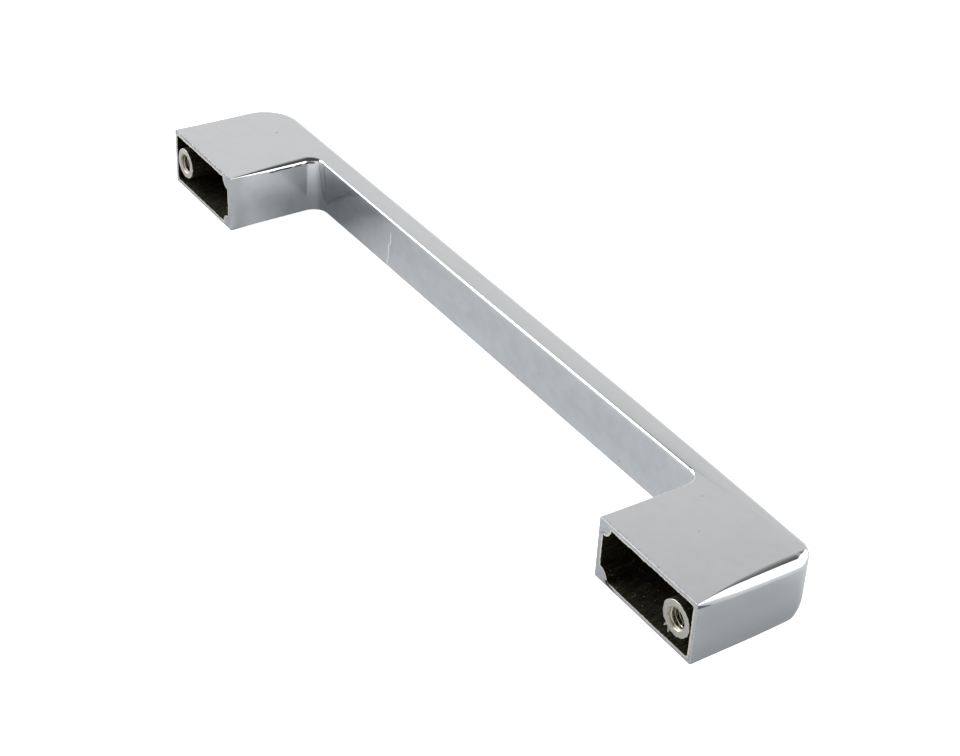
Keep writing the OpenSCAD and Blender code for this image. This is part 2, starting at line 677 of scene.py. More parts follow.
def smooth_curve(stops: Stops, at: np.ndarray) -> np.ndarray:
    """A smooth curve through stops, which never overshoots them.

    Args:
        stops: Places and sizes, in rising order of place.
        at: Where the curve is read.

    Returns:
        The sizes there.
    """
    places, sizes = np.array(stops, float).T
    rises = np.diff(sizes) / np.diff(places)
    before, after = rises[:-1], rises[1:]
    mean_rise = 2 * before * after / (before + after + 1e-30)
    slopes = np.concatenate([[rises[0]], np.where(before * after > 0, mean_rise, 0), [rises[-1]]])
    i = np.clip(np.searchsorted(places, at, "right") - 1, 0, len(rises) - 1)
    span = places[i + 1] - places[i]
    f = np.clip((at - places[i]) / span, 0, 1)
    start = (1 + 2 * f) * (1 - f) ** 2 * sizes[i] + f * (1 - f) ** 2 * span * slopes[i]
    end = f * f * (3 - 2 * f) * sizes[i + 1] - f * f * (1 - f) * span * slopes[i + 1]
    return start + end


def choose(pick: np.ndarray, options: list[np.ndarray]) -> np.ndarray:
    """For each place, the option whose number it picks."""
    return np.select([pick == i for i in range(len(options))], options)


def even_steps(counts: tuple[int, ...]) -> np.ndarray:
    """Places from 0 up, with a count of even steps in each whole number."""
    return np.concatenate([i + np.linspace(0, 1, n, endpoint=False) for i, n in enumerate(counts)])


def unit(vectors: np.ndarray) -> np.ndarray:
    """The vectors at a length of 1."""
    return vectors / np.linalg.norm(vectors, axis=-1, keepdims=True)


@dataclass(frozen=True)
class Outline:
    """A U seen from above: down the near foot, along the grip and up the far foot.

    A walk along it runs from 0 to 5, one for each stretch: near foot, near turn, grip, far turn
    and far foot.
    """

    half_x: float
    depth: float
    near_r: float
    far_r: float
    mouth_y: float

    def walk(self, at: np.ndarray) -> tuple[np.ndarray, np.ndarray]:
        """Points of the outline and the directions square to it.

        Args:
            at: Places on the walk.

        Returns:
            The points and the outward directions, in X and Y.
        """
        stretch = np.clip(np.floor(at), 0, 4)[..., None]
        f = at[..., None] - stretch
        turn = np.pi * (1 + f / 2)
        near_arc = np.concatenate([np.cos(turn), np.sin(turn)], -1)
        far_arc = np.concatenate([-np.sin(turn), np.cos(turn)], -1)
        near_centre = np.array([self.near_r - self.half_x, self.near_r - self.depth])
        far_centre = np.array([self.half_x - self.far_r, self.far_r - self.depth])

        def straight(start: tuple[float, float], end: tuple[float, float]) -> np.ndarray:
            """Points of a straight stretch."""
            return np.array(start) * (1 - f) + np.array(end) * f

        points = [
            straight((-self.half_x, self.mouth_y), (-self.half_x, near_centre[1])),
            near_centre + self.near_r * near_arc,
            straight((near_centre[0], -self.depth), (far_centre[0], -self.depth)),
            far_centre + self.far_r * far_arc,
            straight((self.half_x, far_centre[1]), (self.half_x, self.mouth_y)),
        ]
        flat = np.zeros_like(near_arc)
        ways = [flat + (-1, 0), near_arc, flat + (0, -1), far_arc, flat + (1, 0)]
        return choose(stretch, points), choose(stretch, ways)


@dataclass(frozen=True)
class Rounding:
    """How the section changes along the walk: sizes in millimetres at places from 0 to 5.

    Attributes:
        draw_back: How far the outside draws back from the front.
        top_drop: Height of the outer top edge's rounding.
        top_reach: Its reach into the top.
        low_reach: Reach of the outer bottom edge's rounding into the underside.
        low_rise: Its height.
        gap_top: Height of the inner top edge's rounding.
        gap_reach: Its reach into the top.
        gap_bottom: Rounding of the inner bottom edge.
        lean: How far the top of the inner face leans into the gap.
        crown: How far the top's sides fall below its middle.
    """

    draw_back: Stops = ((0, 0), (1, 0.58), (2, 0.58), (2.08, 0.36), (2.16, 0.2), (2.3, 0), (5, 0))
    top_drop: Stops = (
        (0, 0.1), (0.06, 0.7), (0.15, 1.15), (0.3, 1.5), (0.5, 1.65), (0.9, 1.75), (1.15, 1.7),
        (1.35, 1.6), (1.55, 1.1), (1.8, 0.55), (2, 0.3), (2.6, 0.45), (3, 0.35), (3.3, 0.5), (4, 0.5),
        (4.6, 0.3), (5, 0.1),
    )
    top_reach: Stops = (
        (0, 0.1), (0.06, 0.35), (0.15, 0.65), (0.3, 1.15), (0.5, 1.65), (0.9, 2.1), (1.15, 2.0),
        (1.35, 1.9), (1.55, 1.3), (1.8, 0.7), (2, 0.8), (3, 0.9), (4, 0.8), (4.6, 0.5), (5, 0.1),
    )
    low_reach: Stops = (
        (0, 0.1), (0.5, 0.1), (0.9, 0.3), (1.25, 0.95), (1.6, 1.05), (1.9, 0.6), (2.2, 0.35), (3, 0.45),
        (4, 0.3), (5, 0.1),
    )
    low_rise: Stops = (
        (0, 0.1), (0.5, 0.25), (0.9, 1.0), (1.25, 2.8), (1.6, 3.6), (1.9, 1.8), (2.2, 0.4), (3, 0.45),
        (4, 0.3), (5, 0.1),
    )
    gap_top: Stops = (
        (0, 0.15), (0.4, 0.35), (1, 0.42), (2, 0.56), (2.4, 0.46), (2.7, 0.32), (3, 0.24), (3.5, 0.6),
        (4, 0.85), (4.35, 0.75), (4.7, 0.45), (5, 0.15),
    )
    gap_reach: Stops = (
        (0, 0.15), (0.4, 0.35), (1, 0.42), (2, 0.56), (2.4, 0.44), (2.7, 0.29), (3, 0.24), (3.5, 1.0),
        (4, 1.5), (4.35, 1.3), (4.7, 0.7), (5, 0.15),
    )
    gap_bottom: Stops = ((0, 0.1), (1, 0.1), (3, 0.12), (3.4, 0.4), (4.6, 0.4), (5, 0.1))
    lean: Stops = (
        (0, 0), (1, 0.05), (1.4, 0.2), (1.7, 0.4), (2, 0.62), (2.3, 0.85), (2.6, 0.95), (2.85, 0.9),
        (3, 0.8), (3.3, 0.5), (3.7, 0.15), (4, 0.03), (5, 0),
    )
    crown: Stops = ((0, 0.03), (1, 0.05), (2, 0.04), (2.2, 0.03), (2.9, 0.03), (4, 0.05), (5, 0.03))

    def at(self, walk: np.ndarray) -> SimpleNamespace:
        """All sizes at places on the walk, in metres and under their names."""
        sizes = {name: smooth_curve(stops, walk)[..., None] * MM for name, stops in vars(self).items()}
        return SimpleNamespace(**sizes)


@dataclass
class Casting:
    """The handle without its bosses: a closed skin, and a hollow in each foot."""

    half_length: float
    projection: float
    half_height: float
    foot_length: float = 23.7 * MM
    grip_thickness: float = 3.8 * MM
    near_corner: float = 3.6 * MM
    far_corner: float = 7.2 * MM
    gap_corner: float = 3.2 * MM
    lip: float = 0.07 * MM
    end_wall: float = 0.8 * MM
    side_wall: float = 0.85 * MM
    inner_wall: float = 1.1 * MM
    front_wall: float = 3.5 * MM
    post_r: float = 1.9 * MM
    hollow_corner: float = 0.5 * MM
    hollow_draft: float = 0.04
    hollow_rows: tuple[float, ...] = (
        0, 0.12, 0.3, 0.6, 1.0, 1.6, 2.5, 3.6, 5, 7, 9, 11, 13, 15, 16.5, 18, 19, 19.6,
    )
    rounding: Rounding = Rounding()
    walk_counts: tuple[int, ...] = (34, 28, 72, 28, 34)
    ring_counts: tuple[int, ...] = (10, 18, 6, 8, 4, 6, 4, 12)
    arc_points: int = 16
    loop_step: float = 0.22 * MM
    fringe_width: float = 0.48 * MM
    ragged_depth: float = 0.35
    ragged_fine: float = 0.085
    ragged_broad: float = 0.07
    wall_rough: float = 0.05

    def __post_init__(self) -> None:
        """Works out the two outlines and the hollow's sizes."""
        gap_x = self.half_length - self.foot_length
        gap_depth = self.projection - self.grip_thickness
        self.outer = Outline(self.half_length, self.projection, self.near_corner, self.far_corner, -self.lip)
        self.gap = Outline(gap_x, gap_depth, self.gap_corner, self.gap_corner, -self.lip)
        self.hollow_in = gap_x + self.inner_wall
        self.hollow_out = self.half_length - self.end_wall
        self.hollow_top = self.half_height - self.side_wall
        self.hollow_depth = self.projection - self.front_wall

    def surface(self, walk: np.ndarray, ring: np.ndarray) -> np.ndarray:
        """Points of the skin.

        Args:
            walk: Places along the outlines, from 0 to 5.
            ring: Places round the section, from 0 to 8: top, outer top edge, outer side, outer bottom
                edge, underside, inner bottom edge, inner side and inner top edge.

        Returns:
            The points.
        """
        outer, away = self.outer.walk(walk)
        inner, into = self.gap.walk(walk)
        size = self.rounding.at(walk)
        outer = outer + size.draw_back * (0, 1)
        patch = np.clip(np.floor(ring), 0, 7)[..., None]
        f = ring[..., None] - patch
        # Both parts of a quarter round: one falls from 1 to 0, the other rises from 0 to 1
        fall = 1 - np.sin(f * np.pi / 2)
        rise = 1 - np.cos(f * np.pi / 2)
        top_outer = outer - away * size.top_reach
        eaves = inner - into * size.lean
        top_inner = eaves + into * size.gap_reach
        low_outer = outer - away * size.low_reach
        low_inner = inner + into * size.gap_bottom
        plan = choose(patch, [
            top_inner + (top_outer - top_inner) * f,
            outer - away * size.top_reach * fall,
            outer,
            outer - away * size.low_reach * rise,
            low_outer + (low_inner - low_outer) * f,
            inner + into * size.gap_bottom * fall,
            inner - into * size.lean * f,
            eaves + into * size.gap_reach * rise,
        ])
        width = np.linalg.norm(inner - outer, axis=-1, keepdims=True)
        side = 1 - 2 * np.linalg.norm(plan - outer, axis=-1, keepdims=True) / width
        low = -self.half_height
        top = self.half_height - size.crown * side**2
        height = choose(patch, [
            top,
            top - size.top_drop * rise,
            (top - size.top_drop) * (1 - f) + (low + size.low_rise) * f,
            low + size.low_rise * fall,
            low + 0 * top,
            low + size.gap_bottom * rise,
            (low + size.gap_bottom) * (1 - f) + (top - size.gap_top) * f,
            top - size.gap_top * fall,
        ])
        return np.concatenate([plan, height], -1)

    def surface_normals(self, walk: np.ndarray, ring: np.ndarray) -> np.ndarray:
        """Outward normals of the skin.

        Args:
            walk: Places along the outlines.
            ring: Places round the section.

        Returns:
            The normals there.
        """
        small = 1e-4
        round_way = self.surface(walk, ring + small) - self.surface(walk, ring)
        ahead, behind = (self.surface(np.clip(walk + step, 0, 5), ring) for step in (small, -small))
        return unit(np.cross(round_way, ahead - behind))

    def shell(self) -> Shell:
        """Builds the whole casting.

        Returns:
            One closed shell.
        """
        walk = np.append(even_steps(self.walk_counts), 5.0)
        grid = np.meshgrid(walk, even_steps(self.ring_counts), indexing="ij")
        points = self.surface(*grid)
        normals = self.surface_normals(*grid)
        shell = Shell()
        rows = shell.add_points(points)
        shell.add_grid(rows, normals, Finish.CHROME)
        for foot, end in ((Foot.NEAR, 0), (Foot.FAR, -1)):
            rim = self._add_lip(shell, foot, rows[end], points[end], normals[end])
            self._add_hollow(shell, foot, rim)
        return shell

    def _add_lip(
        self, shell: Shell, foot: Foot, row: np.ndarray, points: np.ndarray, normals: np.ndarray
    ) -> np.ndarray:
        """Rounds a mouth's outer edge into the mounting plane.

        Args:
            shell: The shell that grows.
            foot: Which foot.
            row: The skin's last row of point numbers.
            points: Its points.
            normals: Its normals.

        Returns:
            The numbers of the row in the mounting plane.
        """
        flat = unit(normals * (1, 0, 1))
        rows, tilts = [row], [normals]
        for a in np.radians(EDGE_TURNS):
            step = flat * (self.lip * (math.cos(a) - 1)) + (0, self.lip * math.sin(a), 0)
            rows.append(shell.add_points(points + step))
            tilts.append(flat * math.cos(a) + (0, math.sin(a), 0))
        way = foot.value
        shell.add_grid(np.array(rows)[::way], np.array(tilts)[::way], Finish.GROUND)
        return rows[-1]

    def _hollow_loop(self, foot: Foot) -> np.ndarray:
        """The hollow's outline with a post in each inner corner.

        Args:
            foot: Which foot.

        Returns:
            Evenly stepped points in X and Z.
        """
        x_in, x_out, top = self.hollow_in, self.hollow_out, self.hollow_top
        c, p = self.hollow_corner, self.post_r
        arcs = (
            (x_out - c, top - c, c, 90, 0),
            (x_out - c, c - top, c, 0, -90),
            (x_in, -top, p, 0, 90),
            (x_in, top, p, -90, 0),
        )
        corners = []
        for x, z, r, first, last in arcs:
            for a in np.radians(np.linspace(first, last, self.arc_points)):
                corners.append((x + r * math.cos(a), z + r * math.sin(a)))
        corners = np.array(corners + corners[:1])
        lengths = np.concatenate([[0], np.cumsum(np.linalg.norm(np.diff(corners, axis=0), axis=1))])
        even = np.linspace(0, lengths[-1], round(lengths[-1] / self.loop_step), endpoint=False)
        loop = np.stack([np.interp(even, lengths, corners[:, i]) for i in range(2)], -1)
        return loop * (foot.value, 1)

    def _add_hollow(self, shell: Shell, foot: Foot, rim: np.ndarray) -> None:
        """Adds a foot's ground rim and the hollow inside it.

        Args:
            shell: The shell that grows.
            foot: Which foot.
            rim: The numbers of the mouth's outer row.
        """
        loop = self._hollow_loop(foot)
        centre = loop.mean(0)
        along = np.roll(loop, -1, 0) - np.roll(loop, 1, 0)
        outward = unit(np.stack([along[:, 1], -along[:, 0]], -1))
        outward *= np.sign((outward * (loop - centre)).sum())
        rows = self._hollow_walls(foot, loop, outward)
        border = shell.add_points(at_depth(loop + outward * self.fringe_width, 0.0))
        mouth = shell.add_points(rows[0], fringe=1.0)
        self._zip(shell, rim, border, centre)
        self._zip(shell, border, mouth, centre)
        numbers = np.concatenate([[mouth], shell.add_points(rows[1:])])
        walls = grid_normals(rows)
        middle = np.array([centre[0], 0, centre[1]])
        walls *= -np.sign(((rows - middle) * (1, 0, 1) * walls).sum())
        if foot is Foot.NEAR:
            numbers, walls = numbers[:, ::-1], walls[:, ::-1]
        shell.add_grid(numbers, walls, Finish.CAST)
        heart = shell.add_points(np.array([[centre[0], -self.hollow_depth, centre[1]]]))[0]
        for a, b in zip(numbers[-1], np.roll(numbers[-1], -1)):
            shell.add_flat((a, b, heart), Finish.CAST)

    def _hollow_walls(self, foot: Foot, loop: np.ndarray, outward: np.ndarray) -> np.ndarray:
        """The hollow's rough walls, which follow the outer corner in front.

        Args:
            foot: Which foot.
            loop: The mouth's outline in X and Z.
            outward: The ways out of it.

        Returns:
            Rows of points, from the mouth down.
        """
        turn_r = {Foot.NEAR: self.near_corner, Foot.FAR: self.far_corner}[foot] - self.end_wall
        rows = []
        for depth in (*(row * MM for row in self.hollow_rows), self.hollow_depth):
            past = max(0.0, depth - (self.hollow_depth - turn_r))
            reach = self.hollow_out - turn_r + math.sqrt(max(turn_r**2 - past**2, 0.0))
            shrink = (reach - self.hollow_in) / (self.hollow_out - self.hollow_in)
            x = (np.abs(loop[:, 0]) - self.hollow_in) * shrink + self.hollow_in
            draft = 1 - self.hollow_draft * depth / self.hollow_depth
            plan = np.stack([x * foot.value, loop[:, 1] * draft], -1)
            rows.append(at_depth(plan + outward * self._roughness(plan, depth)[:, None], depth))
        return np.array(rows)

    def _roughness(self, plan: np.ndarray, depth: float) -> np.ndarray:
        """How far the cast wall stands back, with a ragged edge at the mouth.

        Args:
            plan: Points of one row in X and Z.
            depth: The row's depth.

        Returns:
            A distance for each point.
        """
        y = depth / MM
        ragged = math.exp(-y / self.ragged_depth)
        moves = []
        for x, z in plan / MM:
            fine = noise.noise(Vector((x * 1.6, y * 0.5, z * 1.6)))
            broad = noise.noise(Vector((x * 0.5 + 40, 0.0, z * 0.5)))
            wall = noise.noise(Vector((x * 0.8, y * 0.8 + 9, z * 0.8)))
            torn = self.ragged_fine * fine + self.ragged_broad * broad
            moves.append(ragged * torn + (1 - ragged) * self.wall_rough * wall)
        return np.array(moves) * MM

    @staticmethod
    def _zip(shell: Shell, outer: np.ndarray, inner: np.ndarray, centre: np.ndarray) -> None:
        """Joins two loops in the mounting plane, one inside the other, by triangles.

        Args:
            shell: The shell that grows.
            outer: The point numbers of the outer loop.
            inner: The point numbers of the inner loop.
            centre: The middle of both, in X and Z.
        """
        def turned(row: np.ndarray) -> tuple[list[int], list[float]]:
            """Sorts a row by its angles about the centre.

            Args:
                row: Point numbers.

            Returns:
                The numbers in rising order of angle, and the angles with the first one again at the end.
            """
            places = [(shell.points[i][0] - centre[0], shell.points[i][2] - centre[1]) for i in row]
            order = sorted(zip((math.atan2(z, x) for x, z in places), row.tolist()))
            return [i for _, i in order], [a for a, _ in order] + [order[0][0] + math.tau]

        a_ids, a_turn = turned(outer)
        b_ids, b_turn = turned(inner)
        i = j = 0
        while i < len(a_ids) or j < len(b_ids):
            a, b = a_ids[i % len(a_ids)], b_ids[j % len(b_ids)]
            if j == len(b_ids) or (i < len(a_ids) and a_turn[i + 1] <= b_turn[j + 1]):
                i += 1
                shell.add_flat((a, a_ids[i % len(a_ids)], b), Finish.GROUND)
            else:
                j += 1
                shell.add_flat((a, b_ids[j % len(b_ids)], b), Finish.GROUND)


def at_depth(plan: np.ndarray, depth: float) -> np.ndarray:
    """Points in X and Z, put at a depth below the mounting plane."""
    return np.insert(plan, 1, -depth, axis=-1)


def grid_normals(rows: np.ndarray) -> np.ndarray:
    """Unit normals of a grid of closed rows, of either sign."""
    along = np.roll(rows, -1, 1) - np.roll(rows, 1, 1)
    return unit(np.cross(along, np.gradient(rows, axis=0)))


@dataclass
class ScrewBoss:
    """A screw boss as a turned profile with a thread cut into it, made by a node tree.

    The root narrows at its heel, so that it stays inside the rounded corner of the end wall. The
    burrs are slivers of metal that the cutter left at the boss's edge.

    Attributes:
        centre_x: Where its axis meets the mounting plane, on X.
        tap_r: Radius of the hole at the thread's crests.
        materials: The materials in the order of Finish.
    """

    centre_x: float
    tap_r: float
    materials: list[bpy.types.Material]
    boss_r: float = 3.1 * MM
    root_r: float = 3.52 * MM
    height: float = 20.3 * MM
    heel_width: float = 0.75 * MM
    heel_rise: float = 2.8 * MM
    edge: float = 0.12 * MM
    thread_r: float = 2.0 * MM
    pitch: float = 0.7 * MM
    chamfer: float = 0.36 * MM
    thread_depth: float = 10.6 * MM
    tap_depth: float = 12.0 * MM
    point_depth: float = 0.99 * MM
    fine_depth: float = 3.6 * MM
    fine_step: float = 0.05 * MM
    coarse_step: float = 0.14 * MM
    side_points: int = 12
    face_points: int = 6
    around: int = 97
    seed: int = 3
    crease: float = 38
    flanks: tuple[float, float] = (0.22, 0.88)
    run_in: tuple[float, float] = (-0.05 * MM, -0.45 * MM)
    ragged_r: float = 2.9 * MM
    ragged_fade: tuple[float, float] = (-0.9 * MM, -0.1 * MM)
    ragged_height: float = 0.5 * MM
    burrs: int = 0
    burr_turn: float = -1.0
    burr_spread: float = 0.26
    burr_length: float = 1.35 * MM
    burr_tip: float = 0.13 * MM
    burr_foot: float = 0.29 * MM
    burr_sink: float = 0.31 * MM
    burr_overlap: float = 0.3 * MM
    burr_shift: float = 0.12
    burr_lean: float = 4.0
    touch: float = 0.02 * MM

    def profile(self) -> list[tuple[float, float]]:
        """The half section, from the root's middle round to the drill's point.

        Returns:
            Radius and place on Y of each point.
        """
        face_in = self.tap_r + self.chamfer
        root = self.heel_rise - self.height
        points = [(0.0, -self.height), (self.root_r - self.heel_width, -self.height), (self.root_r, root)]
        for f in np.linspace(0, 1, self.side_points)[1:]:
            points.append((self.root_r + f * (self.boss_r - self.root_r), root - f * (root + self.edge)))
        for a in np.radians(EDGE_TURNS):
            points.append((self.boss_r - self.edge * (1 - math.cos(a)), -self.edge * (1 - math.sin(a))))
        for f in np.linspace(0, 1, self.face_points)[1:]:
            points.append((self.boss_r - self.edge + f * (face_in - self.boss_r + self.edge), 0.0))
        depths = [*np.arange(self.fine_step, self.fine_depth, self.fine_step)]
        depths += [*np.arange(self.fine_depth, self.tap_depth, self.coarse_step), self.tap_depth]
        points += [(max(self.tap_r, face_in - d), -d) for d in depths]
        return points + [(0.0, -self.tap_depth - self.point_depth)]

    def shell(self, name: str) -> Shell:
        """Runs the node tree and reads its result.

        Args:
            name: A name for the piece while it is made.

        Returns:
            The boss as a closed shell.
        """
        mesh = bpy.data.meshes.new(name)
        mesh.from_pydata([(r, y, 0.0) for r, y in self.profile()], [], [])
        piece = add_to_scene(name, mesh)
        modifier = piece.modifiers.new("turning", "NODES")
        modifier.node_group = self._tree()
        for item in modifier.node_group.interface.items_tree:
            if item.name in BOSS_INPUTS:
                modifier[item.identifier] = getattr(self, item.name)
        bpy.context.view_layer.update()
        made = bpy.data.meshes.new_from_object(piece.evaluated_get(bpy.context.evaluated_depsgraph_get()))
        bpy.data.objects.remove(piece)
        return self._read(made)

    def _read(self, mesh: bpy.types.Mesh) -> Shell:
        """Reads a mesh.

        Args:
            mesh: The node tree's result.

        Returns:
            The mesh as a shell.
        """
        finishes = {material: i for i, material in enumerate(self.materials)}
        slots = [finishes.get(material, Finish.CAST.value) for material in mesh.materials]
        return Shell(
            [tuple(v.co) for v in mesh.vertices],
            [tuple(p.vertices) for p in mesh.polygons],
            [slots[p.material_index] for p in mesh.polygons],
            [tuple(n.vector) for n in mesh.corner_normals],
            [a.value for a in mesh.attributes[FRINGE].data],
        )

    def _tree(self) -> bpy.types.NodeTree:
        """Makes the node tree: a grid wrapped round the axis, with the thread as a helical wave on it.

        Returns:
            The tree.
        """
        tree = bpy.data.node_groups.new("screw_boss", "GeometryNodeTree")
        for way in ("OUTPUT", "INPUT"):
            tree.interface.new_socket("Geometry", in_out=way, socket_type="NodeSocketGeometry")
        for name in BOSS_INPUTS:
            kind = "NodeSocketInt" if isinstance(getattr(self, name), int) else "NodeSocketFloat"
            tree.interface.new_socket(name, in_out="INPUT", socket_type=kind)
        graph = Graph(tree)
        given = graph.add("NodeGroupInput").outputs
        size = SimpleNamespace(**{name: Value(graph, given[name]) for name in BOSS_INPUTS})
        profile = given["Geometry"]
        rows = graph.value("GeometryNodeAttributeDomainSize", {"Geometry": profile}, component="MESH")
        grid = graph.out("GeometryNodeMeshGrid", {"Vertices X": rows, "Vertices Y": size.around})
        index = graph.value("GeometryNodeInputIndex")
        row = ((index + 0.5) / size.around).floor()
        column = index - row * size.around
        turn = column / (size.around - 1) * math.tau
        sample = {"Geometry": profile, "Value": graph.out("GeometryNodeInputPosition"), "Index": row}
        at_row = graph.out("GeometryNodeSampleIndex", sample, data_type="FLOAT_VECTOR")
        radius, y, _ = graph.axes(at_row)
        cut = self._cut_radius(size, turn, y)
        in_hole = (radius < self.thread_r + self.touch / 2) * (y > -self.thread_depth - self.pitch)
        turned = radius + (radius.larger(cut) - radius) * in_hole
        outside = (radius > self.ragged_r) * y.ramp(*self.ragged_fade)
        turned = turned + self._edge_noise(size, turn) * outside
        spot = graph.vector(turned * turn.cosine() + size.centre_x, y, turned * turn.sine())
        wrapped = graph.out("GeometryNodeSetPosition", {"Geometry": grid, "Position": spot})
        joined = graph.out("GeometryNodeMergeByDistance", {"Geometry": wrapped, "Distance": 0.001 * MM})
        whole = graph.add("GeometryNodeJoinGeometry")
        for part in (self._burr_set(graph, size), joined):
            tree.links.new(part, whole.inputs[0])
        self._dress(graph, whole.outputs[0], size)
        return tree

    def _cut_radius(self, size: SimpleNamespace, turn: Value, y: Value) -> Value:
        """The radius of the thread's surface.

        Args:
            size: The tree's inputs.
            turn: The angle about the axis.
            y: The place along it.

        Returns:
            The radius there.
        """
        phase = (y / size.pitch + turn / math.tau).fraction()
        groove = (1 - abs(phase * 2 - 1)).ramp(*self.flanks, "LINEAR")
        ends = y.ramp(-self.thread_depth - self.pitch, -self.thread_depth) * y.ramp(*self.run_in)
        return size.tap_r + (size.thread_r - size.tap_r) * groove * ends

    def _edge_noise(self, size: SimpleNamespace, turn: Value) -> Value:
        """Small unevenness of the boss's outer edge, closed where the turn ends.

        Args:
            size: The tree's inputs.
            turn: The angle about the axis.

        Returns:
            What the radius gains there.
        """
        spot = turn.graph.vector(turn.cosine() * 3, turn.sine() * 3, size.seed)
        wave = turn.graph.value("ShaderNodeTexNoise", {"Vector": spot, "Scale": 1.3, "Detail": 4.0})
        return (wave - 0.5) * self.ragged_height

    def _burr_set(self, graph: Graph, size: SimpleNamespace) -> Socket:
        """Makes the burrs, which lie in the plane of the boss's face.

        Args:
            graph: The node tree.
            size: The tree's inputs.

        Returns:
            The burrs as real geometry.
        """
        line = graph.out("GeometryNodeMeshLine", {"Count": size.burrs, "Offset": (0, 0, 0)})
        index = graph.value("GeometryNodeInputIndex")
        draw = {2: -self.burr_shift, 3: self.burr_shift, "ID": index, "Seed": size.seed}
        shift = graph.value("FunctionNodeRandomValue", draw, 1, data_type="FLOAT")
        turn = size.burr_turn + (index - 0.5) * size.burr_spread + shift
        reach = self.boss_r - self.burr_overlap
        spot = graph.vector(turn.cosine() * reach + size.centre_x, -self.burr_sink, turn.sine() * reach)
        points = graph.out("GeometryNodeSetPosition", {"Geometry": line, "Position": spot})
        sizes = {"Radius Top": self.burr_tip, "Radius Bottom": self.burr_foot, "Depth": self.burr_length}
        cone = graph.out("GeometryNodeMeshCone", {"Vertices": 6, **sizes})
        lean = graph.vector(0.0, math.pi / 2 - turn + shift * self.burr_lean, 0.0)
        burrs = {"Points": points, "Instance": cone, "Rotation": lean}
        placed = graph.out("GeometryNodeInstanceOnPoints", burrs)
        return graph.out("GeometryNodeRealizeInstances", {0: placed})

    def _dress(self, graph: Graph, solid: Socket, size: SimpleNamespace) -> None:
        """Gives each surface its finish, keeps sharp edges and ends the tree.

        Args:
            graph: The node tree.
            solid: The boss with its burrs.
            size: The tree's inputs.
        """
        x, y, z = graph.axes(graph.out("GeometryNodeInputPosition"))
        x = x - size.centre_x
        radius = (x * x + z * z).root()
        in_burr = (y > -2 * self.burr_sink) * (radius > self.boss_r + 3 * self.touch)
        in_face = (y > -4 * self.touch) * (radius > self.tap_r + self.chamfer - self.touch) + in_burr
        bottom = -self.tap_depth - self.point_depth - self.touch
        in_hole = (radius < self.thread_r + self.touch) * (y < -self.touch) * (y > bottom)
        realized = graph.out("GeometryNodeRealizeInstances", {0: solid})
        sharp = graph.value("GeometryNodeInputMeshEdgeAngle") > math.radians(self.crease)
        smooth = graph.out("GeometryNodeSetShadeSmooth", {0: realized}, domain="FACE")
        edges = {0: smooth, "Selection": sharp, "Shade Smooth": False}
        edged = graph.out("GeometryNodeSetShadeSmooth", edges, domain="EDGE")
        store = {"Geometry": edged, "Name": FRINGE, "Value": ON_BOSS - in_burr}
        dressed = graph.out("GeometryNodeStoreNamedAttribute", store, data_type="FLOAT", domain="POINT")
        for finish, where in ((Finish.CAST, True), (Finish.GROUND, in_face), (Finish.THREAD, in_hole)):
            pick = {"Geometry": dressed, "Selection": where, "Material": self.materials[finish.value]}
            dressed = graph.out("GeometryNodeSetMaterial", pick)
        graph.add("NodeGroupOutput", {0: dressed})


@dataclass(frozen=True)
class Panel:
    """A large soft panel on the room's wall, which lights the handle and shows in its edges.

    Attributes:
        turn: The way to its middle about Z, in degrees from +X.
        rise: The way to its middle above the horizon, in degrees.
        left, right, down, up: How far it reaches from its middle, at a distance of 1.
        soft: Width of its blurred edge.
        level: Its brightness.
    """

    turn: float
    rise: float
    left: float
    right: float
    down: float
    up: float
    soft: float
    level: float

    def light(self, graph: Graph, way: Socket) -> Value:
        """Its brightness in each direction.

        Args:
            graph: The room's node tree.
            way: The direction from the object.

        Returns:
            The brightness.
        """
        a, e = math.radians(self.turn), math.radians(self.rise)
        ahead = (math.cos(e) * math.cos(a), math.cos(e) * math.sin(a), math.sin(e))
        aside = (math.sin(a), -math.cos(a), 0.0)
        above = (-math.sin(e) * math.cos(a), -math.sin(e) * math.sin(a), math.cos(e))
        far, across, upward = (
            graph.value("ShaderNodeVectorMath", {0: way, 1: axis}, "Value", operation="DOT_PRODUCT")
            for axis in (ahead, aside, above)
        )
        lit = (far > AHEAD) * self.level
        far = far.larger(AHEAD)
        for place, low, high in ((across / far, -self.left, self.right), (upward / far, -self.down, self.up)):
            lit = lit * place.band(low - self.soft, low, high, high + self.soft)
        return lit


